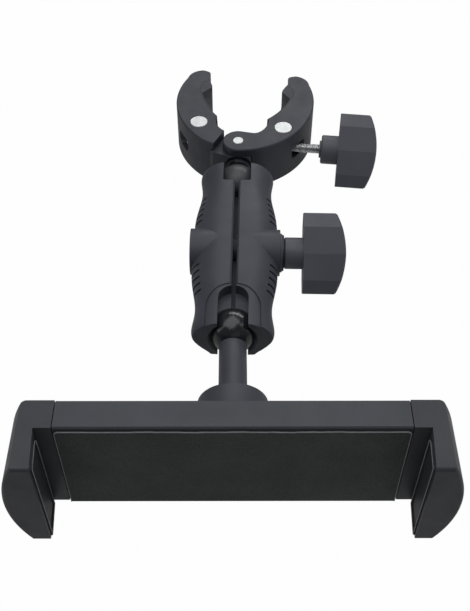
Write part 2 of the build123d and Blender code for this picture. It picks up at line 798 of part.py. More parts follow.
def liner_outline(grow):
    """Side view of a liner, in (y, z): the upper corner by the body is rounded."""
    back = front_y - liner_back_margin + grow
    front = front_y - jaw_forward + liner_front_margin - grow
    low = -half_height
    high = half_height - liner_top_margin + grow
    face = make_face(Polyline((back, low), (front, low), (front, high), (back, high), close=True).edges())
    return round_corner(face, (back, high), liner_corner_round)


def inner_face_x(y):
    """Where a jaw's slightly tapered inner face stands, from the body's front to the lip."""
    share = (front_y - y) / jaw_forward
    return cheek_back_x + share * (cheek_front_x - cheek_back_x)


def right_end_jaw():
    """End jaw with a bulged side wall and a narrow lip, drawn for the right."""
    lip_y = front_y - jaw_forward
    profile = face_of(
        Line((cheek_front_x - 1, -half_height), (wall_x, -half_height)),
        ThreePointArc((wall_x, -half_height), (bulge_x, 0), (wall_x, half_height)),
        Line((wall_x, half_height), (cheek_front_x - 1, half_height)),
        Line((cheek_front_x - 1, half_height), (cheek_front_x - 1, -half_height)),
    )
    plane = Plane(origin=(0, back_y, 0), x_dir=(1, 0, 0), z_dir=(0, -1, 0))
    jaw = extrude(plane * profile, amount=body_depth + jaw_forward, dir=(0, -1, 0))
    front = [e for e in jaw.edges() if abs(e.center().Y - lip_y) < 0.01 and e.center().X > cheek_front_x]
    jaw = fillet(front, jaw_front_round)
    back = [e for e in jaw.edges() if abs(e.center().Y - back_y) < 0.01 and e.center().X > wall_x]
    jaw = fillet(back, jaw_back_round)
    wide = make_face(
        Polyline(
            (0, front_y), (cheek_back_x, front_y), (cheek_front_x, lip_y), (cheek_front_x, lip_y - 1),
            (0, lip_y - 1), close=True,
        ).edges()
    )
    jaw -= slab(wide, -half_height - 1, half_height + 1)
    inner = half_width + jaw_seam
    jaw += block(inner, cheek_back_x, front_y, back_y, -half_height, half_height)
    pocket = extrude(Plane.YZ * liner_outline(0.1), amount=wall_x, dir=(1, 0, 0))
    cheek = make_face(
        Polyline(
            (cheek_back_x - 9, front_y), (cheek_back_x + liner_seat, front_y),
            (cheek_front_x + liner_seat, lip_y), (cheek_back_x - 9, lip_y), close=True,
        ).edges()
    )
    return jaw - (pocket & slab(cheek, -half_height - 1, half_height + 1))


liner_seat = liner_thickness - liner_proud


def right_liner():
    """Rubber liner of an end jaw: a sheet with a rim that stands a little proud of the wall."""
    lip_y = front_y - jaw_forward
    plate = extrude(Plane.YZ * liner_outline(0), amount=wall_x, dir=(1, 0, 0))
    inside = extrude(Plane.YZ * liner_outline(-liner_rim), amount=wall_x, dir=(1, 0, 0))
    inside &= block(0, wall_x, 0, 2 * lip_y, -half_height + liner_rim, half_height)
    band = make_face(
        Polyline(
            (cheek_back_x - liner_proud, front_y), (cheek_back_x + liner_seat - 0.1, front_y),
            (cheek_front_x + liner_seat - 0.1, lip_y), (cheek_front_x - liner_proud, lip_y), close=True,
        ).edges()
    )
    sheet_cut = make_face(
        Polyline(
            (0, front_y + 1), (cheek_back_x + 0.1, front_y + 1),
            (cheek_front_x + 0.1, lip_y), (0, lip_y), close=True,
        ).edges()
    )
    return (plate & slab(band, -half_height, half_height)) - (inside & slab(sheet_cut, -half_height, half_height))


# Every node, in place

hinge_pin = chamfer(Cylinder(hinge_pin_radius, clamp_thickness).edges().filter_by(GeomType.CIRCLE), 0.3)
stud_in_place = arm_place * stud_hole()
shell_half = arm_half()
spring_part = cradle_spring()

nodes = {
    "clamp_left_jaw": clamp_place * left_jaw() - stud_in_place,
    "clamp_right_jaw": clamp_place * right_jaw(),
    "clamp_left_pad": clamp_place * flipped(right_pad()),
    "clamp_right_pad": clamp_place * right_pad(),
    "clamp_hinge_pin": clamp_place * hinge_pin,
    "clamp_left_barrel": clamp_place * Pos(-barrel_x, barrel_y, 0) * barrel(journal_radius + running_gap),
    "clamp_right_barrel": clamp_place * Pos(barrel_x, barrel_y, 0) * barrel(screw_radius + 0.2),
    "clamp_screw": clamp_place * clamp_screw(),
    "clamp_screw_clip": clamp_place * clamp_clip(),
    "clamp_knob": clamp_place * clamp_knob(),
    "upper_ball": arm_place * upper_ball(),
    "upper_ball_stud": arm_place * upper_ball_stud(),
    "arm_left_shell": arm_place * arm_left_shell(shell_half),
    "arm_right_shell": arm_place * arm_right_shell(shell_half),
    "arm_bolt": arm_place * arm_bolt(),
    "arm_spring": arm_place * arm_spring(),
    "arm_plastic_washer": arm_place * washer(plastic_washer_radius, boss_half_span, plastic_washer_thickness),
    "arm_steel_washer": arm_place
    * washer(steel_washer_radius, boss_half_span + plastic_washer_thickness, steel_washer_thickness),
    "arm_knob": arm_place * arm_knob(),
    "arm_knob_insert": arm_place * arm_knob_insert(),
    "lower_ball": cradle_place * lower_ball(),
    "lower_ball_stud": cradle_place * lower_ball_stud(),
    "stem": cradle_place * stem(),
    "flange_screws": cradle_place * flange_screws(),
    "cradle_front_housing": cradle_place * front_housing(),
    "cradle_back_cover": cradle_place * back_cover(),
    "cradle_cover_screws": cradle_place * cover_screws(),
    "cradle_front_pad": cradle_place * front_pad(),
    "cradle_left_jaw": cradle_place * flipped(right_end_jaw() - jaw_slide_pocket(front_layer_y)),
    "cradle_right_jaw": cradle_place * (right_end_jaw() - jaw_slide_pocket(back_layer_y)),
    "cradle_left_liner": cradle_place * flipped(right_liner()),
    "cradle_right_liner": cradle_place * right_liner(),
    "cradle_left_slide": cradle_place * left_slide(),
    "cradle_right_slide": cradle_place * right_slide(),
    "cradle_left_spring": cradle_place * Pos(0, left_lane_y, lane_height) * spring_part,
    "cradle_right_spring": cradle_place * Pos(0, right_lane_y, -lane_height) * Rot(0, 180, 0) * spring_part,
}

for name, part in nodes.items():
    export_step(part, f"parts/{name}.step")
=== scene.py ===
from math import atan2, cos, pi, radians, sin, sqrt

import bmesh
import bpy
from mathutils import Matrix, Vector


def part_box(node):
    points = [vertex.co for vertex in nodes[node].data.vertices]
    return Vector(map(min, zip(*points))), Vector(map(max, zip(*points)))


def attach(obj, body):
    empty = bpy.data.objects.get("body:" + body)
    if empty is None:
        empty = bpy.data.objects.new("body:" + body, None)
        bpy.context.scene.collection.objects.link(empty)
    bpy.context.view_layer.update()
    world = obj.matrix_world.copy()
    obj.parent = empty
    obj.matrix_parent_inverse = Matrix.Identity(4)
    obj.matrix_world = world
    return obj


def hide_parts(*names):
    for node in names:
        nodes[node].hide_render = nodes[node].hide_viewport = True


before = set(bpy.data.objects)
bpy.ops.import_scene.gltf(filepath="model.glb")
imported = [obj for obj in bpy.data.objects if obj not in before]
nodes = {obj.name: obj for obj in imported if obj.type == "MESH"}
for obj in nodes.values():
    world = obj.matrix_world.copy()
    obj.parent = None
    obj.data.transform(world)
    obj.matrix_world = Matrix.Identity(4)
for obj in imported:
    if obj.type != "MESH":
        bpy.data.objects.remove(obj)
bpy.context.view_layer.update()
mm = 0.001

# Where the clamp and the arm stand; the clamp is drawn about its hinge, with y along its middle line
clampLean = radians(6.5)
armYaw = radians(1.35)
barFromHinge = 31.0
ballFromHinge = 19.3
ballSpacing = 95.4
hinge = Vector((-barFromHinge * sin(clampLean), -barFromHinge * cos(clampLean), 0))
armDirection = Vector((sin(armYaw), cos(armYaw), 0))
boltCentre = hinge - (ballFromHinge + ballSpacing / 2) * armDirection
lowBall = hinge - (ballFromHinge + ballSpacing) * armDirection
clampPlace = Matrix.Translation(hinge) @ Matrix.Rotation(-clampLean, 4, "Z")
armPlace = Matrix.Translation(boltCentre) @ Matrix.Rotation(-armYaw, 4, "Z")
cradlePlace = Matrix.Translation(lowBall)


# Materials; scales are per metre, depths in metres


def newMaterial(name):
    material = bpy.data.materials.new(name)
    material.use_nodes = True
    tree = material.node_tree
    coords = tree.nodes.new("ShaderNodeTexCoord").outputs["Object"]
    return material, tree, tree.nodes["Principled BSDF"], coords


def shade(colour, factor):
    return tuple(factor * c for c in colour)


def addNoise(tree, vector, scale, detail, roughness=0.5):
    noise = tree.nodes.new("ShaderNodeTexNoise")
    noise.inputs["Scale"].default_value = scale
    noise.inputs["Detail"].default_value = detail
    noise.inputs["Roughness"].default_value = roughness
    tree.links.new(vector, noise.inputs["Vector"])
    return noise.outputs


def addRange(tree, value, low, high, fromLow=0.3, fromHigh=0.7):
    span = tree.nodes.new("ShaderNodeMapRange")
    span.inputs["From Min"].default_value = fromLow
    span.inputs["From Max"].default_value = fromHigh
    span.inputs["To Min"].default_value = low
    span.inputs["To Max"].default_value = high
    tree.links.new(value, span.inputs["Value"])
    return span.outputs["Result"]


def addTint(tree, shader, factor, colourA, colourB):
    mix = tree.nodes.new("ShaderNodeMix")
    mix.data_type = "RGBA"
    mix.inputs["A"].default_value = (*colourA, 1)
    mix.inputs["B"].default_value = (*colourB, 1)
    tree.links.new(factor, mix.inputs["Factor"])
    tree.links.new(mix.outputs["Result"], shader.inputs["Base Color"])


def addBump(tree, shader, height, strength, distance):
    bump = tree.nodes.new("ShaderNodeBump")
    bump.inputs["Strength"].default_value = strength
    bump.inputs["Distance"].default_value = distance
    tree.links.new(height, bump.inputs["Height"])
    tree.links.new(bump.outputs["Normal"], shader.inputs["Normal"])


mouldLook = {
    "driftScale": 45,
    "tones": (0.9, 1.12),
    "rubbedScale": 110,
    "rubbedUneven": 0.62,
    "smoother": 0.06,
    "rougher": 0.07,
    "grainStrength": 0.35,
}


# Spark-eroded mould finish: fine grain, slow drift of tone, rubbed patches a little smoother
def mouldedPlastic(name, colour, roughness, grainScale=2600, grainDepth=0.00004, specular=0.4):
    look = mouldLook
    material, tree, shader, coords = newMaterial(name)
    drift = addNoise(tree, coords, look["driftScale"], detail=4)["Fac"]
    dark, pale = (shade(colour, tone) for tone in look["tones"])
    addTint(tree, shader, addRange(tree, drift, 0, 1), dark, pale)
    rubbed = addNoise(tree, coords, look["rubbedScale"], detail=5, roughness=look["rubbedUneven"])["Fac"]
    sheen = addRange(tree, rubbed, roughness - look["smoother"], roughness + look["rougher"])
    tree.links.new(sheen, shader.inputs["Roughness"])
    grain = addNoise(tree, coords, grainScale, detail=2)["Fac"]
    addBump(tree, shader, grain, look["grainStrength"], grainDepth)
    shader.inputs["Specular IOR Level"].default_value = specular
    return material


rubberLook = {
    "dustScale": 260,
    "dustUneven": 0.7,
    "dustFrom": 0.4,
    "dustFull": 0.75,
    "dustTone": 1.35,
    "smoother": 0.05,
    "rougher": 0.08,
    "toothScale": 3400,
    "toothStrength": 0.5,
    "toothDepth": 0.00005,
    "specular": 0.25,
}


# Moulded rubber, matt with a fine tooth and a little dust
def rubberFinish(name, colour, roughness):
    look = rubberLook
    material, tree, shader, coords = newMaterial(name)
    dust = addNoise(tree, coords, look["dustScale"], detail=6, roughness=look["dustUneven"])["Fac"]
    dusty = addRange(tree, dust, 0, 1, look["dustFrom"], look["dustFull"])
    addTint(tree, shader, dusty, colour, shade(colour, look["dustTone"]))
    sheen = addRange(tree, dust, roughness - look["smoother"], roughness + look["rougher"])
    tree.links.new(sheen, shader.inputs["Roughness"])
    tooth = addNoise(tree, coords, look["toothScale"], detail=2)["Fac"]
    addBump(tree, shader, tooth, look["toothStrength"], look["toothDepth"])
    shader.inputs["Specular IOR Level"].default_value = look["specular"]
    return material


foamLook = {
    "cellScale": 900,
    "randomness": 0.9,
    "warpScale": 630,
    "warpBy": 0.0009,
    "creaseWidth": 0.22,
    "creaseShadeTone": 0.72,
    "creaseStrength": 0.45,
    "creaseDepth": 0.00012,
    "driftScale": 60,
    "roughness": (0.56, 0.7),
    "specular": 0.3,
}


# Foam sheet with an embossed leather grain: cells with soft creases between them, the creases darkened
# with painted shade
def leatherGrainFoam(name, colour):
    look = foamLook
    material, tree, shader, coords = newMaterial(name)
    cells = tree.nodes.new("ShaderNodeTexVoronoi")
    cells.feature = "DISTANCE_TO_EDGE"
    cells.inputs["Scale"].default_value = look["cellScale"]
    cells.inputs["Randomness"].default_value = look["randomness"]
    wobble = addNoise(tree, coords, look["warpScale"], detail=2)["Color"]
    warp = tree.nodes.new("ShaderNodeVectorMath")
    warp.operation = "MULTIPLY_ADD"
    warp.inputs[1].default_value = (look["warpBy"],) * 3
    tree.links.new(wobble, warp.inputs[0])
    tree.links.new(coords, warp.inputs[2])
    tree.links.new(warp.outputs["Vector"], cells.inputs["Vector"])
    crease = addRange(tree, cells.outputs["Distance"], 0, 1, 0, look["creaseWidth"])
    # Painted shade: the creases are tinted darker than the cells
    addTint(tree, shader, crease, shade(colour, look["creaseShadeTone"]), colour)
    drift = addNoise(tree, coords, look["driftScale"], detail=4)["Fac"]
    tree.links.new(addRange(tree, drift, *look["roughness"]), shader.inputs["Roughness"])
    addBump(tree, shader, crease, look["creaseStrength"], look["creaseDepth"])
    shader.inputs["Specular IOR Level"].default_value = look["specular"]
    return material


ballLook = {
    "markScale": 320,
    "markUneven": 0.7,
    "tones": (0.85, 1.2),
    "smearTurn": (0.5, 0.35, 0.7),
    "smearStretch": (1.0, 0.16, 0.3),
    "smearScale": 900,
    "roughness": (0.08, 0.3),
    "smearStrength": 0.3,
    "smearDepth": 0.00035,
    "coat": 0.15,
    "coatRoughness": 0.2,
}


# Polished moulded ball, with the smeared streaks that its socket rubs into it
def glossyBall(name, colour):
    look = ballLook
    material, tree, shader, coords = newMaterial(name)
    marks = addNoise(tree, coords, look["markScale"], detail=6, roughness=look["markUneven"])["Fac"]
    dark, pale = (shade(colour, tone) for tone in look["tones"])
    addTint(tree, shader, addRange(tree, marks, 0, 1), dark, pale)
    turned = tree.nodes.new("ShaderNodeMapping")
    turned.inputs["Rotation"].default_value = look["smearTurn"]
    turned.inputs["Scale"].default_value = look["smearStretch"]
    tree.links.new(coords, turned.inputs["Vector"])
    smear = addNoise(tree, turned.outputs["Vector"], look["smearScale"], detail=4)["Fac"]
    tree.links.new(addRange(tree, smear, *look["roughness"]), shader.inputs["Roughness"])
    addBump(tree, shader, smear, look["smearStrength"], look["smearDepth"])
    shader.inputs["Coat Weight"].default_value = look["coat"]
    shader.inputs["Coat Roughness"].default_value = look["coatRoughness"]
    return material


metalLook = {
    "cloudShare": 0.3,
    "cloudUneven": 0.65,
    "cloudTone": 0.82,
    "markUneven": 0.7,
    "smoother": 0.08,
    "rougher": 0.1,
    "markDepth": 0.00002,
}


# Turned or plated metal: tool marks as a fine uneven sheen
def metalFinish(name, colour, roughness, markStrength=0.25, markScale=900):
    look = metalLook
    material, tree, shader, coords = newMaterial(name)
    cloudScale = markScale * look["cloudShare"]
    cloud = addNoise(tree, coords, cloudScale, detail=5, roughness=look["cloudUneven"])["Fac"]
    addTint(tree, shader, addRange(tree, cloud, 0, 1), shade(colour, look["cloudTone"]), colour)
    marks = addNoise(tree, coords, markScale, detail=4, roughness=look["markUneven"])["Fac"]
    sheen = addRange(tree, marks, roughness - look["smoother"], roughness + look["rougher"])
    tree.links.new(sheen, shader.inputs["Roughness"])
    addBump(tree, shader, marks, markStrength, look["markDepth"])
    shader.inputs["Metallic"].default_value = 1
    return material


clampPlastic = mouldedPlastic("clampPlastic", (0.037, 0.039, 0.052), 0.5)
charcoal = mouldedPlastic("charcoalPlastic", (0.051, 0.054, 0.068), 0.5)
housingPlastic = mouldedPlastic("housingPlastic", (0.049, 0.055, 0.066), 0.46, 3400, 0.00003)
jawPlastic = mouldedPlastic("endJawPlastic", (0.046, 0.048, 0.057), 0.44, 3000, 0.00003, 0.35)
knobPlastic = mouldedPlastic("knobPlastic", (0.088, 0.091, 0.111), 0.48, 2400)
stemPlastic = mouldedPlastic("stemPlastic", (0.056, 0.06, 0.074), 0.45, 2800)
clampRubber = rubberFinish("clampRubber", (0.062, 0.066, 0.075), 0.6)
linerRubber = rubberFinish("linerRubber", (0.032, 0.033, 0.038), 0.5)
padFoam = leatherGrainFoam("padFoam", (0.054, 0.059, 0.058))
# Pale rubber for thin edge beads: its pale colour is a painted highlight along the pad's cut edge and
# the liners' rims
paintedHighlightEdge = rubberFinish("paintedHighlightEdge", (0.2, 0.21, 0.225), 0.36)
mattBall = mouldedPlastic("mattBall", (0.058, 0.061, 0.067), 0.42, 3000, 0.00002)
ballGloss = glossyBall("ballGloss", (0.013, 0.014, 0.017))
pinSteel = metalFinish("pinSteel", (0.72, 0.74, 0.74), 0.46, markStrength=0.5, markScale=1500)
zincSteel = metalFinish("zincSteel", (0.72, 0.73, 0.75), 0.3)
springSteel = metalFinish("springSteel", (0.5, 0.51, 0.53), 0.3)
blackSteel = metalFinish("blackSteel", (0.06, 0.06, 0.065), 0.42)
brassFinish = metalFinish("insertBrass", (0.75, 0.57, 0.27), 0.35)

finishes = {
    clampPlastic: ["clamp_left_jaw", "clamp_right_jaw"],
    charcoal: ["arm_left_shell", "arm_right_shell"],
    housingPlastic: [
        "cradle_front_housing",
        "cradle_back_cover",
        "cradle_left_slide",
        "cradle_right_slide",
    ],
    jawPlastic: ["cradle_left_jaw", "cradle_right_jaw"],
    knobPlastic: ["clamp_knob", "arm_knob", "arm_plastic_washer"],
    stemPlastic: ["stem"],
    clampRubber: ["clamp_left_pad", "clamp_right_pad"],
    linerRubber: ["cradle_left_liner", "cradle_right_liner"],
    padFoam: ["cradle_front_pad"],
    mattBall: ["upper_ball"],
    ballGloss: ["lower_ball"],
    pinSteel: ["clamp_hinge_pin", "clamp_left_barrel", "clamp_right_barrel"],
    zincSteel: ["clamp_screw", "clamp_screw_clip", "flange_screws"],
    springSteel: ["cradle_left_spring", "cradle_right_spring"],
    blackSteel: [
        "arm_steel_washer",
        "cradle_cover_screws",
        "upper_ball_stud",
        "lower_ball_stud",
        "arm_bolt",
        "arm_spring",
    ],
    brassFinish: ["arm_knob_insert"],
}
for finish, names in finishes.items():
    for name in names:
        mesh = nodes[name].data
        mesh.materials.clear()
        mesh.materials.append(finish)
print("stage 1: materials on", sum(len(n) for n in finishes.values()), "nodes")


# Helpers for built pieces, which are drawn in millimetres


def emptyPiece(name):
    obj = bpy.data.objects.new(name, bpy.data.meshes.new(name))
    bpy.context.scene.collection.objects.link(obj)
    return obj


# Makes a piece of a drawn shape, at its place and in metres
def pieceFrom(shape, name, place, finish):
    shape.transform(Matrix.Scale(mm, 4) @ place)
    piece = emptyPiece(name)
    shape.to_mesh(piece.data)
    shape.free()
    piece.data.materials.append(finish)
    return piece


# Turns a piece with live modifiers into a plain mesh, at its place and in metres
def bake(piece, place):
    depsgraph = bpy.context.evaluated_depsgraph_get()
    mesh = bpy.data.meshes.new_from_object(piece.evaluated_get(depsgraph))
    piece.modifiers.clear()
    piece.data = mesh
    mesh.transform(Matrix.Scale(mm, 4) @ place)


def finishSmooth(piece, finish):
    piece.data.materials.clear()
    piece.data.materials.append(finish)
    for polygon in piece.data.polygons:
        polygon.material_index = 0
        polygon.use_smooth = True


# Joins each ring of points to the next one with quads
def joinRings(shape, rings):
    for a, b in zip(rings, rings[1:]):
        for i in range(len(a)):
            j = (i + 1) % len(a)
            shape.faces.new((a[i], a[j], b[j], b[i]))


def ringAlongX(shape, x, radius, segments):
    turns = [2 * pi * i / segments for i in range(segments)]
    return [shape.verts.new((x, radius * cos(t), radius * sin(t))) for t in turns]


def newTree(name, inputs):
    tree = bpy.data.node_groups.new(name, "GeometryNodeTree")
    for label, kind in inputs.items():
        tree.interface.new_socket(label, in_out="INPUT", socket_type=kind)
    tree.interface.new_socket("Geometry", in_out="OUTPUT", socket_type="NodeSocketGeometry")
    return tree


# The end of each tree: real geometry with its finish on
def endTree(tree, given, geometry):
    add, link = tree.nodes.new, tree.links.new
    real = add("GeometryNodeRealizeInstances")
    link(geometry, real.inputs["Geometry"])
    painted = add("GeometryNodeSetMaterial")
    link(real.outputs["Geometry"], painted.inputs["Geometry"])
    link(given.outputs["Finish"], painted.inputs["Material"])
    out = add("NodeGroupOutput")
    link(painted.outputs["Geometry"], out.inputs["Geometry"])


def useTree(piece, tree, values):
    modifier = piece.modifiers.new(tree.name, "NODES")
    modifier.node_group = tree
    for item in tree.interface.items_tree:
        if item.in_out == "INPUT" and item.name in values:
            modifier[item.identifier] = values[item.name]


# Clamp screw with its thread

barrelFromHinge = 25.35
barrelHalfApex = radians(59.1)
clampScrew = {
    "start": -17.0,
    "end": 55.6,
    "tail": -28.15,
    "line": barrelFromHinge * cos(barrelHalfApex),
    "pitch": 0.8,
    "coreRadius": 2.08,
    "coreSides": 32,
    "crestRadius": 2.5,
    "crestInset": 0.005,
    "stepsPerTurn": 20,
    "ridgeSides": 4,
    "tailRadius": 2.2,
    "tailEdge": 0.3,
    "tailSides": 40,
    "tailOverlap": 0.1,
}


# A core along Z with one helical ridge wound on it
def threadTree():
    tree = newTree("threadTree", {
        "Length": "NodeSocketFloat",
        "Turns": "NodeSocketFloat",
        "Core": "NodeSocketFloat",
        "Ridge": "NodeSocketFloat",
        "Finish": "NodeSocketMaterial",
    })
    add, link = tree.nodes.new, tree.links.new
    given = add("NodeGroupInput")
    spiral = add("GeometryNodeCurveSpiral")
    spiral.inputs["Resolution"].default_value = clampScrew["stepsPerTurn"]
    link(given.outputs["Turns"], spiral.inputs["Rotations"])
    link(given.outputs["Core"], spiral.inputs["Start Radius"])
    link(given.outputs["Core"], spiral.inputs["End Radius"])
    link(given.outputs["Length"], spiral.inputs["Height"])
    profile = add("GeometryNodeCurvePrimitiveCircle")
    profile.inputs["Resolution"].default_value = clampScrew["ridgeSides"]
    link(given.outputs["Ridge"], profile.inputs["Radius"])
    ridge = add("GeometryNodeCurveToMesh")
    ridge.inputs["Fill Caps"].default_value = True
    link(spiral.outputs["Curve"], ridge.inputs["Curve"])
    link(profile.outputs["Curve"], ridge.inputs["Profile Curve"])
    core = add("GeometryNodeMeshCylinder")
    core.inputs["Vertices"].default_value = clampScrew["coreSides"]
    link(given.outputs["Core"], core.inputs["Radius"])
    link(given.outputs["Length"], core.inputs["Depth"])
    half = add("ShaderNodeMath")
    half.operation = "MULTIPLY"
    half.inputs[1].default_value = 0.5
    link(given.outputs["Length"], half.inputs[0])
    up = add("ShaderNodeCombineXYZ")
    link(half.outputs["Value"], up.inputs["Z"])
    raised = add("GeometryNodeTransform")
    link(core.outputs["Mesh"], raised.inputs["Geometry"])
    link(up.outputs["Vector"], raised.inputs["Translation"])
    both = add("GeometryNodeJoinGeometry")
    link(ridge.outputs["Mesh"], both.inputs["Geometry"])
    link(raised.outputs["Geometry"], both.inputs["Geometry"])
    endTree(tree, given, both.outputs["Geometry"])
    return tree


# The plain tail of the screw, with broken edges
def screwTail():
    s = clampScrew
    start = s["tail"]
    end = s["start"] + s["tailOverlap"]
    edge = s["tailEdge"]
    full = s["tailRadius"]
    steps = ((start, full - edge), (start + edge, full), (end - edge, full), (end, full - edge))
    rod = bmesh.new()
    rings = [ringAlongX(rod, x, radius, s["tailSides"]) for x, radius in steps]
    joinRings(rod, rings)
    rod.faces.new(rings[0][::-1])
    rod.faces.new(rings[-1])
    bmesh.ops.recalc_face_normals(rod, faces=rod.faces)
    rod.transform(Matrix.Translation((0, s["line"], 0)))
    mesh = bpy.data.meshes.new("tail")
    rod.to_mesh(mesh)
    rod.free()
    mesh.transform(Matrix.Scale(mm, 4) @ clampPlace)
    return mesh


def buildClampScrew():
    s = clampScrew
    piece = emptyPiece("clampScrewThreaded")
    length = s["end"] - s["start"]
    useTree(piece, threadTree(), {
        "Length": length,
        "Turns": length / s["pitch"],
        "Core": s["coreRadius"],
        "Ridge": s["crestRadius"] - s["coreRadius"] - s["crestInset"],
        "Finish": zincSteel,
    })
    alongX = Matrix.Translation((s["start"], s["line"], 0)) @ Matrix.Rotation(pi / 2, 4, "Y")
    bake(piece, clampPlace @ alongX)
    joined = bmesh.new()
    joined.from_mesh(piece.data)
    joined.from_mesh(screwTail())
    joined.to_mesh(piece.data)
    joined.free()
    finishSmooth(piece, zincSteel)
    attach(piece, "screw")
    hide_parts("clamp_screw")


buildClampScrew()
print("stage 2: clamp screw")


# Rubber pads of the clamp, drawn for the right jaw about the hinge

clampPads = {
    "seat": ((13.3, 18.7), (20.3, 28.0), (24.2, 37.5), (24.75, 44.2), (21.4, 49.8)),
    "foot": (12.6, 19.5),
    "run": (16.3, 28.0),
    "waist": (18.4, 37.0),
    "crest": (18.75, 45.6),
    "crestStart": 2.4,      # how far below its top the crest's arc starts
    "crestTop": (0.45, 0.2),
    "crestEnd": 0.45,       # share of the way from the crest to the jaw's tip
    "tipInset": (0.35, 0.45),
    "gap": 0.12,
    "ridgeHalf": 2.0,
    "slopeStart": 42.5,     # below this the pad falls away from its ridge to the jaw's faces
    "slopeFull": 38.0,
    "fallsBy": 0.9,
    "deepest": 0.95,
    "edgeInset": 0.35,
    "points": 13,
    "levels": (-1, -0.96, -0.8, -0.6, -0.4, -0.2, 0, 0.2, 0.4, 0.6, 0.8, 0.96, 1),
    "keySize": (6.56, 8.76, 7.76),
    "keyPlace": (24.4, 35.5),
    "keyTurn": -18,
    "sharpFrom": 38,
}


# Points of the arc through three points, in a plane
def arcThrough(a, b, c, count):
    ax, ay, bx, by, cx, cy = *a, *b, *c
    aa, bb, cc = ax**2 + ay**2, bx**2 + by**2, cx**2 + cy**2
    d = 2 * (ax * (by - cy) + bx * (cy - ay) + cx * (ay - by))
    ux = (aa * (by - cy) + bb * (cy - ay) + cc * (ay - by)) / d
    uy = (aa * (cx - bx) + bb * (ax - cx) + cc * (bx - ax)) / d
    radius = sqrt((ax - ux) ** 2 + (ay - uy) ** 2)
    first, middle, last = (atan2(y - uy, x - ux) for x, y in (a, b, c))
    while middle - first > pi:
        middle -= 2 * pi
    while first - middle > pi:
        middle += 2 * pi
    while last - middle > pi:
        last -= 2 * pi
    while middle - last > pi:
        last += 2 * pi
    turns = [first + (last - first) * i / (count - 1) for i in range(count)]
    return [(ux + radius * cos(t), uy + radius * sin(t)) for t in turns]


# The rounded inner contour of the pad: foot, run, waist, crest and tip
def padContour():
    p = clampPads
    n = p["points"]
    crestX, crestY = p["crest"]
    tipX, tipY = p["seat"][-1]
    lower = arcThrough(p["foot"], p["run"], p["waist"], n)
    before = (crestX, crestY - p["crestStart"])
    middle = (crestX + p["crestTop"][0], crestY + p["crestTop"][1])
    after = (crestX + p["crestEnd"] * (tipX - crestX), crestY + p["crestEnd"] * (tipY - crestY))
    crest = arcThrough(before, middle, after, n - 2)
    return lower + crest + [(tipX - p["tipInset"][0], tipY - p["tipInset"][1])]


def buildClampPad(name, side, body, node):
    p = clampPads
    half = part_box("clamp_right_pad")[1][2] / mm
    n = p["points"]
    back = arcThrough(*p["seat"][:3], n) + arcThrough(*p["seat"][2:], n)[1:]
    back = [(x - p["gap"], y) for x, y in back]
    front = padContour()
    pad = bmesh.new()
    rings = []
    for level in p["levels"]:
        z = level * half
        slope = max(0, (abs(z) - p["ridgeHalf"]) / (half - p["ridgeHalf"]))
        row = []
        for (sx, sy), (x, y) in zip(back, front):
            share = min(1, max(0, (p["slopeStart"] - y) / (p["slopeStart"] - p["slopeFull"])))
            share = share * share * (3 - 2 * share) * slope * p["fallsBy"]
            if abs(level) == 1:
                span = sqrt((sx - x) ** 2 + (sy - y) ** 2)
                share = min(p["deepest"], share + p["edgeInset"] / span * (1 - share))
            row.append((x + share * (sx - x), y + share * (sy - y)))
        rings.append([pad.verts.new((side * x, y, z)) for x, y in back + row[::-1]])
    joinRings(pad, rings)
    for ring in (rings[0], rings[-1]):
        for i in range(len(back) - 1):
            pad.faces.new((ring[i], ring[i + 1], ring[-2 - i], ring[-1 - i]))
    bmesh.ops.recalc_face_normals(pad, faces=pad.faces)
    keyPlace = Matrix.Translation((side * p["keyPlace"][0], p["keyPlace"][1], 0))
    keyTurn = Matrix.Rotation(side * radians(p["keyTurn"]), 4, "Z")
    keySize = Matrix.Diagonal((*p["keySize"], 1))
    bmesh.ops.create_cube(pad, size=1, matrix=keyPlace @ keyTurn @ keySize)
    piece = pieceFrom(pad, name, clampPlace, clampRubber)
    for polygon in piece.data.polygons:
        polygon.use_smooth = True
    piece.data.set_sharp_from_angle(angle=radians(p["sharpFrom"]))
    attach(piece, body)
    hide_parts(node)


buildClampPad("rightClampPad", 1, "clamp_right", "clamp_right_pad")
buildClampPad("leftClampPad", -1, "clamp_left", "clamp_left_pad")
print("stage 3: clamp pads")


# Front pad and trim of the cradle, drawn about the lower ball

cradleSizes = {
    "frontY": -66.7,
    "halfHeight": 26.075,
    "halfWidth": 65.5,
    "jawInnerBack": 72.36,
    "jawInnerFront": 71.14,
    "jawForward": 17.63,
    "linerProud": 0.5,
    "linerFront": 2.0,
    "linerBack": 1.4,
    "linerTop": 3.0,
    "linerCorner": 4.0,
}
edgeSizes = {
    "linerEdge": 0.32,
    "linerSunk": 0.1,
    "linerStop": 0.6,       # how far short of its start a liner's bead ends
    "cornerSteps": 8,
    "sides": 10,
}
frontPad = {
    "seatDepth": 0.38,      # how deep its back lies in the housing's recess
    "stands": 0.8,          # how far its face stands out of the housing
    "lapClear": 0.02,
    "seatBelowTop": 3.45,
    "edgeBelowTop": 2.0,
    "side": 0.3,
    "seatCorner": 4.0,
    "edgeCorner": 1.6,
    "roundedBy": 0.22,
    "steps": 96,            # points along the hand-cut upper edge
    "waves": ((0.11, 0.19, 1.0), (0.07, 0.53, 0.0), (0.045, 1.27, 2.0)),
    "wavesFade": 4,         # the waves reach their full height after this part of the edge
    "cutEdge": 0.25,
}
stemSeam = {"radius": 5.9, "near": -12.5, "far": -37.4, "turn": 45, "bead": 0.2, "sunk": 0.06}


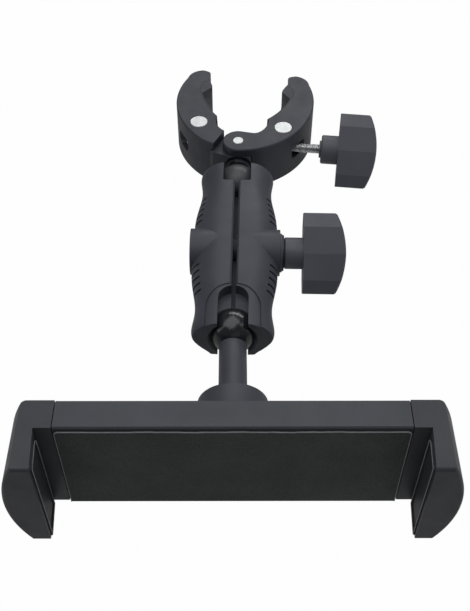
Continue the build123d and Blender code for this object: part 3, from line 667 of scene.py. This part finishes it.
# A thin round bead that follows a path, with closed ends
def stripTree():
    tree = newTree("stripTree", {
        "Path": "NodeSocketGeometry",
        "Radius": "NodeSocketFloat",
        "Finish": "NodeSocketMaterial",
    })
    add, link = tree.nodes.new, tree.links.new
    given = add("NodeGroupInput")
    curve = add("GeometryNodeMeshToCurve")
    link(given.outputs["Path"], curve.inputs["Mesh"])
    profile = add("GeometryNodeCurvePrimitiveCircle")
    profile.inputs["Resolution"].default_value = edgeSizes["sides"]
    link(given.outputs["Radius"], profile.inputs["Radius"])
    bead = add("GeometryNodeCurveToMesh")
    bead.inputs["Fill Caps"].default_value = True
    link(curve.outputs["Curve"], bead.inputs["Curve"])
    link(profile.outputs["Curve"], bead.inputs["Profile Curve"])
    endTree(tree, given, bead.outputs["Mesh"])
    return tree


beadTree = stripTree()


# Lays a bead along a path on the cradle and gives it to a body
def layBead(name, path, radius, finish, body):
    piece = emptyPiece(name)
    piece.data.from_pydata(path, [(i, i + 1) for i in range(len(path) - 1)], [])
    useTree(piece, beadTree, {"Radius": radius, "Finish": finish})
    bake(piece, cradlePlace)
    finishSmooth(piece, finish)
    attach(piece, body)


# Points of a rounded corner in a plane, from one angle to another
def cornerPoints(centreX, centreY, radius, start, end):
    steps = edgeSizes["cornerSteps"]
    turns = [radians(start + (end - start) * i / steps) for i in range(steps + 1)]
    return [(centreX + radius * cos(t), centreY + radius * sin(t)) for t in turns]


# Outline of the pad in (x, z), from its lower left corner round to its lower right one
def padOutline(belowTop, corner, waviness=0, inset=0):
    c = cradleSizes
    p = frontPad
    wide = c["halfWidth"] - p["side"] - inset
    high = c["halfHeight"] - belowTop - inset
    low = -c["halfHeight"] + inset
    steps = p["steps"]
    left = cornerPoints(-wide + corner, high - corner, corner, 180, 90)
    right = cornerPoints(wide - corner, high - corner, corner, 90, 0)
    top = []
    for i in range(1, steps):
        x = -wide + corner + 2 * (wide - corner) * i / steps
        fade = min(1, p["wavesFade"] * i / steps, p["wavesFade"] * (steps - i) / steps)
        wave = sum(size * sin(pace * x + start) for size, pace, start in p["waves"])
        top.append((x, high + waviness * fade * wave))
    return [(-wide, low)] + left + top + right + [(wide, low)]


# The pad sits in its recess, and its upper edge, cut by hand, laps over the housing a little
def buildFrontPad():
    p = frontPad
    y = cradleSizes["frontY"]
    seat = padOutline(p["seatBelowTop"], p["seatCorner"])
    edge = padOutline(p["edgeBelowTop"], p["edgeCorner"], 1)
    face = padOutline(p["edgeBelowTop"], p["edgeCorner"], 1, p["roundedBy"])
    steps = (
        (seat, y + p["seatDepth"]),
        (seat, y - p["lapClear"]),
        (edge, y - p["lapClear"]),
        (edge, y - p["stands"] + p["roundedBy"]),
        (face, y - p["stands"]),
    )
    pad = bmesh.new()
    rings = [[pad.verts.new((x, depth, z)) for x, z in outline] for outline, depth in steps]
    joinRings(pad, rings)
    pad.faces.new(rings[0])
    pad.faces.new(rings[-1][::-1])
    bmesh.ops.recalc_face_normals(pad, faces=pad.faces)
    piece = pieceFrom(pad, "frontPadCut", cradlePlace, padFoam)
    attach(piece, "cradle")
    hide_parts("cradle_front_pad")


def padEdgePath():
    p = frontPad
    halfRounding = p["roundedBy"] / 2
    y = cradleSizes["frontY"] - p["stands"] + halfRounding
    outline = padOutline(p["edgeBelowTop"], p["edgeCorner"], 1, halfRounding)
    return [(x, y, z) for x, z in outline]


# How far out the face of a liner lies, at a depth y
def linerFaceX(y):
    c = cradleSizes
    share = (c["frontY"] - y) / c["jawForward"]
    return c["jawInnerBack"] + share * (c["jawInnerFront"] - c["jawInnerBack"]) - c["linerProud"]


def linerEdgePath(side):
    c = cradleSizes
    r = edgeSizes["linerEdge"]
    back = c["frontY"] - c["linerBack"] - r
    front = c["frontY"] - c["jawForward"] + c["linerFront"] + r
    low, high = -c["halfHeight"] + r, c["halfHeight"] - c["linerTop"] - r
    corner = c["linerCorner"] - r
    top = cornerPoints(back - corner, high - corner, corner, 0, 90)
    flat = [(front, low), (back, low)] + top + [(front, high), (front, low + edgeSizes["linerStop"])]
    return [(side * (linerFaceX(y) + edgeSizes["linerSunk"]), y, z) for y, z in flat]


def stemSeamPath(angle):
    s = stemSeam
    reach = s["radius"] - s["sunk"]
    return [(reach * sin(angle), y, reach * cos(angle)) for y in (s["near"], s["far"])]


buildFrontPad()
# A thin bead on the pad's cut edge, pale as a painted highlight
layBead("padEdgeHighlight", padEdgePath(), frontPad["cutEdge"], paintedHighlightEdge, "cradle")
# Beads along the liners' rims, pale as painted highlights
for sideName, side in (("left", -1), ("right", 1)):
    path = linerEdgePath(side)
    layBead(sideName + "LinerEdgeHighlight", path, edgeSizes["linerEdge"], paintedHighlightEdge, sideName + "_end")
for seamName, halfTurn in (("upper", 0), ("lower", 180)):
    path = stemSeamPath(radians(stemSeam["turn"] + halfTurn))
    layBead(seamName + "StemSeam", path, stemSeam["bead"], stemPlastic, "cradle")
print("stage 4: front pad, cradle trim and stem seams")


# Inside the arm, drawn about its bolt: what fills the split between its halves

shadeSleeve = {"outer": 6.65, "inner": 6.3, "start": -8.5, "end": 6.5, "segments": 56}
ribEnds = {
    "spans": ((-8.2, -6.5), (6.5, 8.2), (36.3, 37.4)),
    "from": -1.2,
    "to": 0.6,
    "halfThickness": 0.9,
}


# Thin near-black sleeve round the arm's spring: it closes the split between the halves, and its dark
# colour is painted shade for the gap
def buildShadeSleeve():
    s = shadeSleeve
    corners = (("start", "outer"), ("end", "outer"), ("end", "inner"), ("start", "inner"))
    tube = bmesh.new()
    rings = [ringAlongX(tube, s[where], s[size], s["segments"]) for where, size in corners]
    joinRings(tube, rings + rings[:1])
    bmesh.ops.recalc_face_normals(tube, faces=tube.faces)
    # Near-black rubber here is painted shade in the arm's split
    piece = pieceFrom(tube, "shadeSleeve", armPlace, linerRubber)
    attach(piece, "arm")


# Short webs that carry the arm's ribs on to the sleeve and to the socket
def buildRibEnds():
    r = ribEnds
    webs = bmesh.new()
    for low, high in r["spans"]:
        middle = Matrix.Translation(((r["from"] + r["to"]) / 2, (low + high) / 2, 0))
        size = Matrix.Diagonal((r["to"] - r["from"], high - low, 2 * r["halfThickness"], 1))
        bmesh.ops.create_cube(webs, size=1, matrix=middle @ size)
    piece = pieceFrom(webs, "armRibEnds", armPlace, charcoal)
    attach(piece, "arm")


buildShadeSleeve()
buildRibEnds()
print("stage 5: spring sleeve and rib ends")


# Floor, light and camera

floorSizes = {"z": -0.16, "half": 3.0, "tone": 0.62, "roughness": 0.9, "whiteShare": 0.98}
photoCamera = {
    "lens": 53.54,
    "sensor": 36.0,
    "place": (-0.00565, -0.39536, 0.30186),
    "down": 48.754,
    "turn": -0.086,
}
studio = {
    "world": 0.14,
    "target": (0, -0.1, 0),
    "lamps": {
        "overheadSoftbox": ((-0.1, 0.0, 1.0), (1.3, 1.0), 6.2),
        "rearStrip": ((0.25, 0.85, 0.55), (0.9, 0.25), 2.6),
        "leftStrip": ((-0.9, -0.25, 0.5), (0.2, 0.8), 0.6),
        "rightStrip": ((0.9, -0.1, 0.45), (0.25, 0.9), 1.7),
        "frontFill": ((0.3, -1.1, 0.6), (0.8, 0.5), 0.25),
    },
}


# A pale floor that the camera sees as nearly white, with a trace of the object's shadow
def buildFloor():
    f = floorSizes
    half, z = f["half"], f["z"]
    corners = [(-half, -half, z), (half, -half, z), (half, half, z), (-half, half, z)]
    mesh = bpy.data.meshes.new("floor")
    mesh.from_pydata(corners, [], [(0, 1, 2, 3)])
    floor = bpy.data.objects.new("floor", mesh)
    bpy.context.scene.collection.objects.link(floor)
    material = bpy.data.materials.new("paleFloor")
    material.use_nodes = True
    tree = material.node_tree
    shader = tree.nodes["Principled BSDF"]
    shader.inputs["Base Color"].default_value = (f["tone"], f["tone"], f["tone"], 1)
    shader.inputs["Roughness"].default_value = f["roughness"]
    white = tree.nodes.new("ShaderNodeEmission")
    white.inputs["Color"].default_value = (1, 1, 1, 1)
    white.inputs["Strength"].default_value = 1
    path = tree.nodes.new("ShaderNodeLightPath")
    seen = tree.nodes.new("ShaderNodeMath")
    seen.operation = "MAXIMUM"
    tree.links.new(path.outputs["Is Camera Ray"], seen.inputs[0])
    tree.links.new(path.outputs["Is Transmission Ray"], seen.inputs[1])
    share = tree.nodes.new("ShaderNodeMath")
    share.operation = "MULTIPLY"
    share.inputs[1].default_value = f["whiteShare"]
    tree.links.new(seen.outputs["Value"], share.inputs[0])
    mix = tree.nodes.new("ShaderNodeMixShader")
    tree.links.new(share.outputs["Value"], mix.inputs["Fac"])
    tree.links.new(shader.outputs["BSDF"], mix.inputs[1])
    tree.links.new(white.outputs["Emission"], mix.inputs[2])
    tree.links.new(mix.outputs["Shader"], tree.nodes["Material Output"].inputs["Surface"])
    mesh.materials.append(material)


# A soft grey world that the camera sees as white
def setWorld(level):
    world = bpy.data.worlds.new("studio")
    world.use_nodes = True
    bpy.context.scene.world = world
    tree = world.node_tree
    soft = tree.nodes["Background"]
    soft.inputs["Color"].default_value = (1, 1, 1, 1)
    soft.inputs["Strength"].default_value = level
    white = tree.nodes.new("ShaderNodeBackground")
    white.inputs["Color"].default_value = (1, 1, 1, 1)
    white.inputs["Strength"].default_value = 1
    path = tree.nodes.new("ShaderNodeLightPath")
    mix = tree.nodes.new("ShaderNodeMixShader")
    tree.links.new(path.outputs["Is Camera Ray"], mix.inputs["Fac"])
    tree.links.new(soft.outputs["Background"], mix.inputs[1])
    tree.links.new(white.outputs["Background"], mix.inputs[2])
    tree.links.new(mix.outputs["Shader"], tree.nodes["World Output"].inputs["Surface"])


def addLamp(name, place, target, size, power):
    light = bpy.data.lights.new(name, "AREA")
    light.shape = "RECTANGLE"
    light.size, light.size_y = size
    light.energy = power
    lamp = bpy.data.objects.new(name, light)
    lamp.location = place
    lamp.rotation_euler = (Vector(target) - Vector(place)).to_track_quat("-Z", "Y").to_euler()
    bpy.context.scene.collection.objects.link(lamp)


def addCamera():
    c = photoCamera
    data = bpy.data.cameras.new("photoCamera")
    data.lens = c["lens"]
    data.sensor_width = c["sensor"]
    camera = bpy.data.objects.new("photoCamera", data)
    camera.location = c["place"]
    camera.rotation_euler = (radians(90 - c["down"]), 0, radians(c["turn"]))
    bpy.context.scene.collection.objects.link(camera)
    bpy.context.scene.camera = camera


buildFloor()
setWorld(studio["world"])
for lampName, (place, size, power) in studio["lamps"].items():
    addLamp(lampName, place, studio["target"], size, power)
addCamera()
bpy.context.scene.view_settings.view_transform = "Standard"
print("stage 6: floor, lamps and camera")
